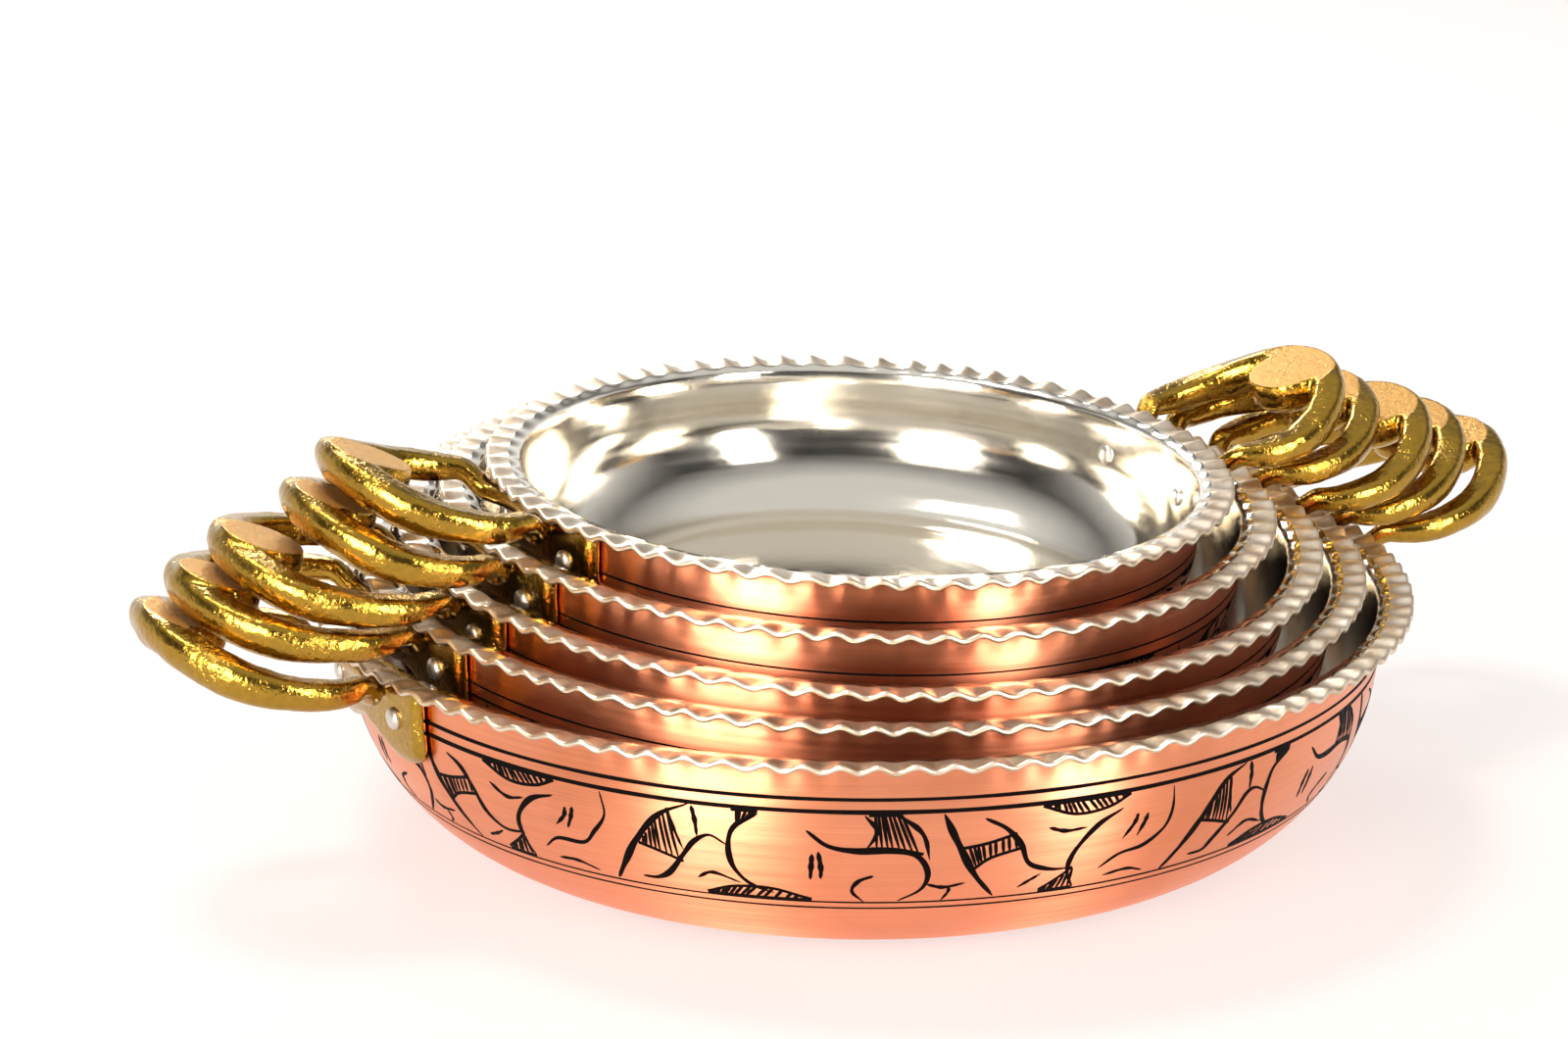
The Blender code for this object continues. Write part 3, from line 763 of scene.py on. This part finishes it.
def plate_edge(sideways):
    off = abs(sideways) - RIVET_SPACING / 2
    room = PLATE_HALF_WIDTH - RIVET_SPACING / 2
    if off > 0:
        return PLATE_SIDE + (PLATE_LOBE - PLATE_SIDE) * math.sqrt(max(1 - (off / room) ** 2, 0))
    return PLATE_WAIST + (PLATE_LOBE - PLATE_WAIST) * ease(1 + off / (RIVET_SPACING / 2))


def plate_into(shape, loop, columns=60, rows=14):
    """The plate, bent to the wall, with its outer edges rounded over."""
    seat = loop.seat
    sheets = []
    for outer in (True, False):
        grid = []
        for column in range(columns + 1):
            sideways = -PLATE_HALF_WIDTH * math.cos(math.pi * column / columns)
            bottom = plate_edge(sideways)
            line = []
            for row in range(rows + 1):
                drop = 0.0021 + (bottom - 0.0021) * (0.5 - 0.5 * math.cos(math.pi * row / rows))
                edge = min(PLATE_HALF_WIDTH - abs(sideways), bottom - drop, drop - 0.0005)
                round_over = 0.0011 * (1 - ease(edge / 0.0016))
                extra = PLATE_THICKNESS - round_over if outer else 0.0
                radius = seat.outside(seat.height - drop) + 0.0003 + extra
                angle = sideways / seat.wall
                place = (radius * math.cos(angle), radius * math.sin(angle), seat.height - drop)
                line.append(shape.verts.new(place))
            grid.append(line)
        sheets.append(grid)
    front, back = sheets
    for c in range(columns):
        for r in range(rows):
            shape.faces.new((front[c][r], front[c][r + 1], front[c + 1][r + 1], front[c + 1][r]))
            shape.faces.new((back[c][r], back[c + 1][r], back[c + 1][r + 1], back[c][r + 1]))
    for c in range(columns):
        shape.faces.new((front[c][0], front[c + 1][0], back[c + 1][0], back[c][0]))
        shape.faces.new((front[c][rows], back[c][rows], back[c + 1][rows], front[c + 1][rows]))
    for r in range(rows):
        shape.faces.new((front[0][r], back[0][r], back[0][r + 1], front[0][r + 1]))
        shape.faces.new((front[columns][r], front[columns][r + 1], back[columns][r + 1], back[columns][r]))


def cast_handle(loop, name):
    """The three shapes run together as one casting, its skin softly uneven, and its flats ground."""
    shape = bmesh.new()
    for add_shape in (tube_into, pad_into, plate_into):
        piece = bmesh.new()
        add_shape(piece, loop)
        bmesh.ops.recalc_face_normals(piece, faces=piece.faces)
        mesh = bpy.data.meshes.new("piece")
        piece.to_mesh(mesh)
        piece.free()
        shape.from_mesh(mesh)
        bpy.data.meshes.remove(mesh)
    mesh = bpy.data.meshes.new(name)
    shape.to_mesh(mesh)
    shape.free()
    blank = bpy.data.objects.new(name, mesh)
    bpy.context.scene.collection.objects.link(blank)
    remesh = blank.modifiers.new("one skin", "REMESH")
    remesh.mode = "VOXEL"
    remesh.voxel_size = 0.00055
    soften = blank.modifiers.new("soft corners", "SMOOTH")
    soften.iterations = 9
    soften.factor = 0.5
    graph = bpy.context.evaluated_depsgraph_get()
    graph.update()
    mesh = bpy.data.meshes.new_from_object(blank.evaluated_get(graph), depsgraph=graph)
    bpy.data.objects.remove(blank)
    count = len(mesh.vertices)
    points = np.empty(count * 3)
    normals = np.empty(count * 3)
    mesh.vertices.foreach_get("co", points)
    mesh.vertices.foreach_get("normal", normals)
    points = points.reshape(-1, 3)
    normals = normals.reshape(-1, 3)
    # Sand leaves a skin that wanders by about 0.1 mm.
    offset = Vector((loop.seat.number * 1.7, loop.side * 0.9, 0))
    wander = []
    for point in points:
        at = Vector(point)
        wander.append(noise.noise(at * 210 + offset) + 0.5 * noise.noise(at * 520 + offset))
    outward = np.linalg.norm(points[:, :2], axis=1) - loop.seat.wall
    wander = np.array(wander) * np.clip((outward - 0.003) / 0.004, 0, 1)
    points += normals * (wander * 0.00013)[:, None]
    # The pad's face is ground to one plane.
    to_pad = np.array(pad_frame(loop).inverted())
    on_pad = points @ to_pad[:3, :3].T + to_pad[:3, 3]
    near = np.linalg.norm(on_pad[:, :2], axis=1) < PAD_RADIUS + 0.003
    ground_at = PAD_HEIGHT - 0.0002
    high = near & (on_pad[:, 2] > ground_at)
    on_pad[high, 2] = ground_at
    back = np.array(pad_frame(loop))
    points[high] = on_pad[high] @ back[:3, :3].T + back[:3, 3]
    mesh.vertices.foreach_set("co", points.ravel())
    layer = mesh.attributes.new("ground", "FLOAT", "POINT")
    layer.data.foreach_set("value", high.astype(np.float32))
    if loop.side < 0:
        mesh.transform(Matrix.Rotation(math.pi, 4, "Z"))
    mesh.transform(loop.seat.matrix)
    mesh.polygons.foreach_set("use_smooth", [True] * len(mesh.polygons))
    mesh.materials.clear()
    mesh.materials.append(brass)
    mesh.update()
    made = bpy.data.objects.new(name, mesh)
    bpy.context.scene.collection.objects.link(made)
    return made


# Yellow brass, sand cast and tumbled bright: deep gold with an olive cast, and wet-looking highlights broken
# by fine pits. The ground faces are paler and satin, with straight scratches from the wheel.
brass, tree, shader = new_finish("sand-cast yellow brass")
place = add(tree, "ShaderNodeTexCoord")
ground = add(tree, "ShaderNodeAttribute", attribute_name="ground")
# Casting pits are about 0.7 mm across and 1.1 mm apart.
pits = add(tree, "ShaderNodeTexVoronoi", {"Vector": place.outputs["Object"], "Scale": 900.0})
pit_deep = add(
    tree,
    "ShaderNodeMapRange",
    {"Value": pits.outputs["Distance"], "From Min": 0.0, "From Max": 0.3},
)
grain = add(tree, "ShaderNodeTexNoise", {"Vector": place.outputs["Object"], "Scale": 800.0, "Detail": 4.0})
rough_spots = add(tree, "ShaderNodeTexNoise", {"Vector": place.outputs["Object"], "Scale": 95.0, "Detail": 3.0})
spots = add(
    tree,
    "ShaderNodeMapRange",
    {"Value": rough_spots.outputs["Fac"], "From Min": 0.5, "From Max": 0.66},
)
skin = add(
    tree,
    "ShaderNodeMath",
    {0: pit_deep.outputs[0], 1: 0.35, 2: grain.outputs["Fac"]},
    operation="MULTIPLY_ADD",
)
strength = add(tree, "ShaderNodeMath", {0: spots.outputs[0], 1: 0.7, 2: 0.3}, operation="MULTIPLY_ADD")
relief = add(tree, "ShaderNodeBump", {"Height": skin.outputs[0], "Distance": 0.00045})
tree.links.new(strength.outputs[0], relief.inputs["Strength"])
scratch_at = add(
    tree,
    "ShaderNodeMapping",
    {"Vector": place.outputs["Object"], "Scale": (5200.0, 260.0, 260.0)},
)
scratches = add(tree, "ShaderNodeTexNoise", {"Vector": scratch_at.outputs[0], "Scale": 1.0, "Detail": 2.0})
tint = add(tree, "ShaderNodeMix", data_type="RGBA")
tree.links.new(ground.outputs["Fac"], tint.inputs[0])
tint.inputs[6].default_value = linear("#AC8734")
tint.inputs[7].default_value = linear("#C3954F")
mottle = add(tree, "ShaderNodeMapRange", {"Value": grain.outputs["Fac"], "From Min": 0.3, "From Max": 0.7})
mottle.inputs["To Min"].default_value = 0.86
mottle.inputs["To Max"].default_value = 1.04
shaded = add(tree, "ShaderNodeVectorMath", {0: tint.outputs[2], "Scale": mottle.outputs[0]}, operation="SCALE")
cast_gloss = add(tree, "ShaderNodeMath", {0: spots.outputs[0], 1: 0.12, 2: 0.17}, operation="MULTIPLY_ADD")
ground_gloss = add(
    tree,
    "ShaderNodeMath",
    {0: scratches.outputs["Fac"], 1: 0.2, 2: 0.40},
    operation="MULTIPLY_ADD",
)
gloss = add(tree, "ShaderNodeMix", data_type="FLOAT")
tree.links.new(ground.outputs["Fac"], gloss.inputs[0])
tree.links.new(cast_gloss.outputs[0], gloss.inputs[2])
tree.links.new(ground_gloss.outputs[0], gloss.inputs[3])
tree.links.new(shaded.outputs[0], shader.inputs["Base Color"])
tree.links.new(gloss.outputs[0], shader.inputs["Roughness"])
tree.links.new(relief.outputs[0], shader.inputs["Normal"])
shader.inputs["Metallic"].default_value = 1.0

for number, seat in SEATS.items():
    for side, word in ((-1, "left"), (1, "right")):
        handle = cast_handle(Loop(seat, side), f"cast_handle_{word}_of_pan_{number}")
        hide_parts(f"pan_{number}_handle_{word}")
        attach(handle, f"pan_{number}")

# ---------------------------------------------------------------------------------------------------------
# The rivets: soft steel, tinned, driven by hand. The head outside is a low dome with a dinted top, and the
# tail inside is hammered into a wider, flatter one.

# Tinned rivet steel: grey and satin, with hammer dints that catch the light.
rivet_steel, tree, shader = new_finish("tinned rivet steel")
place = add(tree, "ShaderNodeTexCoord")
dints = add(tree, "ShaderNodeTexNoise", {"Vector": place.outputs["Object"], "Scale": 700.0, "Detail": 2.0})
relief = add(tree, "ShaderNodeBump", {"Height": dints.outputs["Fac"], "Distance": 0.0003, "Strength": 0.5})
tree.links.new(relief.outputs[0], shader.inputs["Normal"])
shader.inputs["Base Color"].default_value = linear("#D2CCC2")
shader.inputs["Metallic"].default_value = 1.0
shader.inputs["Roughness"].default_value = 0.36

HEAD_RADIUS = 0.0024
TAIL_RADIUS = 0.0022


def driven_rivet():
    """One rivet turned round Z, with Z out of the wall and the wall's outer face at zero."""
    out = 0.0003 + PLATE_THICKNESS
    inside = -SHEET
    profile = [(0.0, out + 0.0013), (HEAD_RADIUS * 0.45, out + 0.0012), (HEAD_RADIUS * 0.8, out + 0.0009)]
    profile += [(HEAD_RADIUS, out + 0.0004), (HEAD_RADIUS, out - 0.0004), (0.0015, out - 0.0004)]
    profile += [(0.0015, inside), (TAIL_RADIUS, inside + 0.0001), (TAIL_RADIUS, inside - 0.0003)]
    profile += [(TAIL_RADIUS * 0.8, inside - 0.0008), (0.0, inside - 0.0010)]
    shape = bmesh.new()
    sides = 20
    rings = []
    for radius, z in profile:
        turn = [2 * math.pi * step / sides for step in range(sides if radius else 1)]
        rings.append([shape.verts.new((radius * math.cos(a), radius * math.sin(a), z)) for a in turn])
    for here, after in zip(rings, rings[1:]):
        for index in range(sides):
            following = (index + 1) % sides
            ends = [here[index % len(here)], after[index % len(after)]]
            ends += [after[following % len(after)], here[following % len(here)]]
            shape.faces.new(list(dict.fromkeys(ends)))
    bmesh.ops.recalc_face_normals(shape, faces=shape.faces)
    mesh = bpy.data.meshes.new("driven rivet")
    shape.to_mesh(mesh)
    shape.free()
    mesh.polygons.foreach_set("use_smooth", [True] * len(mesh.polygons))
    made = bpy.data.objects.new("driven rivet", mesh)
    bpy.context.scene.collection.objects.link(made)
    return made


def rivet_tree():
    """Geometry nodes that set a rivet at each point of a mesh, turned to the point's own angles."""
    tree = bpy.data.node_groups.new("set rivets", "GeometryNodeTree")
    panel = tree.interface
    panel.new_socket("Geometry", in_out="INPUT", socket_type="NodeSocketGeometry")
    panel.new_socket("Rivet", in_out="INPUT", socket_type="NodeSocketObject")
    panel.new_socket("Finish", in_out="INPUT", socket_type="NodeSocketMaterial")
    panel.new_socket("Geometry", in_out="OUTPUT", socket_type="NodeSocketGeometry")
    given = add(tree, "NodeGroupInput").outputs
    source = add(tree, "GeometryNodeObjectInfo", {"Object": given["Rivet"]})
    angles = add(tree, "GeometryNodeInputNamedAttribute", {"Name": "angles"}, data_type="FLOAT_VECTOR")
    turn = add(tree, "FunctionNodeEulerToRotation", {0: angles.outputs[0]})
    points = add(tree, "GeometryNodeMeshToPoints", {"Mesh": given["Geometry"]})
    copies = add(
        tree,
        "GeometryNodeInstanceOnPoints",
        {"Points": points.outputs[0], "Instance": source.outputs["Geometry"], "Rotation": turn.outputs[0]},
    )
    real = add(tree, "GeometryNodeRealizeInstances", {0: copies.outputs[0]})
    coated = add(tree, "GeometryNodeSetMaterial", {"Geometry": real.outputs[0], "Material": given["Finish"]})
    add(tree, "NodeGroupOutput", {0: coated.outputs[0]})
    return tree


rivet = driven_rivet()
setting = rivet_tree()
for number, seat in SEATS.items():
    z = seat.height - RIVET_DROP
    lean = math.atan2(seat.outside(z + 0.0005) - seat.outside(z - 0.0005), 0.001)
    places, angles = [], []
    for turn in (0, math.pi):
        for sign in (-1, 1):
            round_at = math.asin(sign * RIVET_SPACING / 2 / seat.wall) + turn
            reach = seat.outside(z)
            places.append((reach * math.cos(round_at), reach * math.sin(round_at), z))
            angles.append((0.0, math.pi / 2 + lean, round_at))
    mesh = bpy.data.meshes.new("rivet places")
    mesh.from_pydata(places, [], [])
    layer = mesh.attributes.new("angles", "FLOAT_VECTOR", "POINT")
    layer.data.foreach_set("vector", [value for triple in angles for value in triple])
    holes = bpy.data.objects.new("rivet places", mesh)
    bpy.context.scene.collection.objects.link(holes)
    hammer = holes.modifiers.new("set rivets", "NODES")
    hammer.node_group = setting
    set_inputs(hammer, {"Rivet": rivet, "Finish": rivet_steel})
    rivets = finished(holes, f"rivets_of_pan_{number}", seat.matrix)
    ends = [f"pan_{number}_rivet_{side}_{end}" for side in ("left", "right") for end in ("front", "back")]
    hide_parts(*ends)
    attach(rivets, f"pan_{number}")
bpy.data.objects.remove(rivet)

# ---------------------------------------------------------------------------------------------------------
# The table and the room: white card with a white backdrop behind it. The room is dark on the viewer's side,
# so that the metal keeps its darker tones, and two tall strips there draw the bright bands down the copper.

# Matt white card, which stays white and keeps a faint shadow. Its faint peach is partly the card's own warm
# tone and partly painted bounce light from the copper, which warms the shadow.
card, tree, shader = new_finish("white card")
path = add(tree, "ShaderNodeLightPath")
white = add(tree, "ShaderNodeEmission", {"Color": (1.0, 1.0, 1.0, 1.0), "Strength": 1.0})
# The card's diffuse colour: a faint peach, partly its own tone and partly painted warm bounce light from the
# copper in the shadow.
card_tone_and_bounce = add(tree, "ShaderNodeBsdfDiffuse", {"Color": linear("#FBEDE6")})
seen = add(
    tree,
    "ShaderNodeMath",
    {0: path.outputs["Is Camera Ray"], 1: path.outputs["Is Glossy Ray"]},
    operation="MAXIMUM",
)
glow = add(tree, "ShaderNodeMath", {0: seen.outputs[0], 1: 0.62}, operation="MULTIPLY")
blend = add(tree, "ShaderNodeMixShader", {0: glow.outputs[0], 1: card_tone_and_bounce.outputs[0], 2: white.outputs[0]})
tree.links.new(blend.outputs[0], tree.nodes["Material Output"].inputs["Surface"])
floor_mesh = bpy.data.meshes.new("table")
floor_mesh.from_pydata([(-6, -6, 0), (6, -6, 0), (6, 6, 0), (-6, 6, 0)], [], [(0, 1, 2, 3)])
floor_mesh.materials.append(card)
table = bpy.data.objects.new("table", floor_mesh)
bpy.context.scene.collection.objects.link(table)

world = bpy.data.worlds.new("room")
bpy.context.scene.world = world
world.use_nodes = True
tree = world.node_tree
tree.nodes.clear()
toward = add(tree, "ShaderNodeTexCoord")
parts = add(tree, "ShaderNodeSeparateXYZ", {0: toward.outputs["Generated"]})
# In the metal the room is white low behind the pans, dark on the viewer's side, and grey overhead.
low_down = add(tree, "ShaderNodeMapRange", {"Value": parts.outputs[2], "From Min": 0.15, "From Max": 0.6})
low_down.inputs["To Min"].default_value = 1.0
low_down.inputs["To Max"].default_value = 0.12
behind = add(
    tree,
    "ShaderNodeVectorMath",
    {0: toward.outputs["Generated"], 1: (0.429, 0.903, 0.0)},
    operation="DOT_PRODUCT",
)
backdrop = add(
    tree,
    "ShaderNodeMapRange",
    {"Value": behind.outputs["Value"], "From Min": -0.3, "From Max": 0.3},
)
backdrop.inputs["To Min"].default_value = 0.07
backdrop.inputs["To Max"].default_value = 1.0
walls = add(tree, "ShaderNodeMath", {0: low_down.outputs[0], 1: backdrop.outputs[0]}, operation="MULTIPLY")
ceiling = add(tree, "ShaderNodeMapRange", {"Value": parts.outputs[2], "From Min": 0.5, "From Max": 0.85})
ceiling.inputs["To Max"].default_value = 0.72
room = add(tree, "ShaderNodeMath", {0: walls.outputs[0], 1: ceiling.outputs[0]}, operation="MAXIMUM")
path = add(tree, "ShaderNodeLightPath")
in_metal = add(tree, "ShaderNodeMix", data_type="FLOAT")
tree.links.new(path.outputs["Is Glossy Ray"], in_metal.inputs[0])
in_metal.inputs[2].default_value = 0.55
tree.links.new(room.outputs[0], in_metal.inputs[3])
direct = add(tree, "ShaderNodeMix", data_type="FLOAT")
tree.links.new(path.outputs["Is Camera Ray"], direct.inputs[0])
tree.links.new(in_metal.outputs[0], direct.inputs[2])
direct.inputs[3].default_value = 1.0
sky = add(tree, "ShaderNodeBackground", {"Color": (1.0, 1.0, 1.0, 1.0), "Strength": direct.outputs[0]})
add(tree, "ShaderNodeOutputWorld", {0: sky.outputs[0]})


MIDDLE = Vector((0.0, 0.0, 0.05))


def soft_lamp(name, place, size, power, colour="#FFFFFF", on_card=True):
    """A soft lamp turned to the middle of the stack. One that is not on the card shows in metal only."""
    lamp = bpy.data.lights.new(name, "AREA")
    lamp.shape = "RECTANGLE"
    lamp.size, lamp.size_y = size
    lamp.energy = power
    lamp.color = linear(colour)[:3]
    made = bpy.data.objects.new(name, lamp)
    made.location = place
    made.visible_diffuse = on_card
    made.rotation_euler = (MIDDLE - Vector(place)).to_track_quat("-Z", "Y").to_euler()
    bpy.context.scene.collection.objects.link(made)


soft_lamp("front left lamp", (-1.08, -0.72, 0.46), (0.50, 0.85), 11.0, "#FFF4E6")
soft_lamp("front right lamp", (0.39, -1.19, 0.46), (0.30, 0.85), 6.0, "#FFF8F0")
soft_lamp("tall strip on the left", (-1.09, -0.73, 0.42), (0.56, 0.84), 32.0, "#FFFBF6", on_card=False)
soft_lamp("tall strip on the right", (0.40, -1.20, 0.42), (0.28, 0.84), 18.0, "#FFFDFB", on_card=False)
soft_lamp("back lamp", (0.2, 1.2, 0.75), (0.5, 0.3), 8.0)
soft_lamp("top lamp", (-0.25, 0.35, 1.3), (0.35, 0.35), 8.0)

camera = bpy.data.objects.new("camera", bpy.data.cameras.new("camera"))
camera.data.sensor_width = 36.0
camera.data.lens = 82.9
camera.location = (-0.3396, -0.6757, 0.2931)
aim = (Vector((-0.0153, 0.0073, 0.0623)) - camera.location).to_track_quat("-Z", "Y")
camera.rotation_euler = aim.to_euler()
bpy.context.scene.collection.objects.link(camera)
bpy.context.scene.camera = camera
bpy.context.scene.view_settings.view_transform = "Standard"
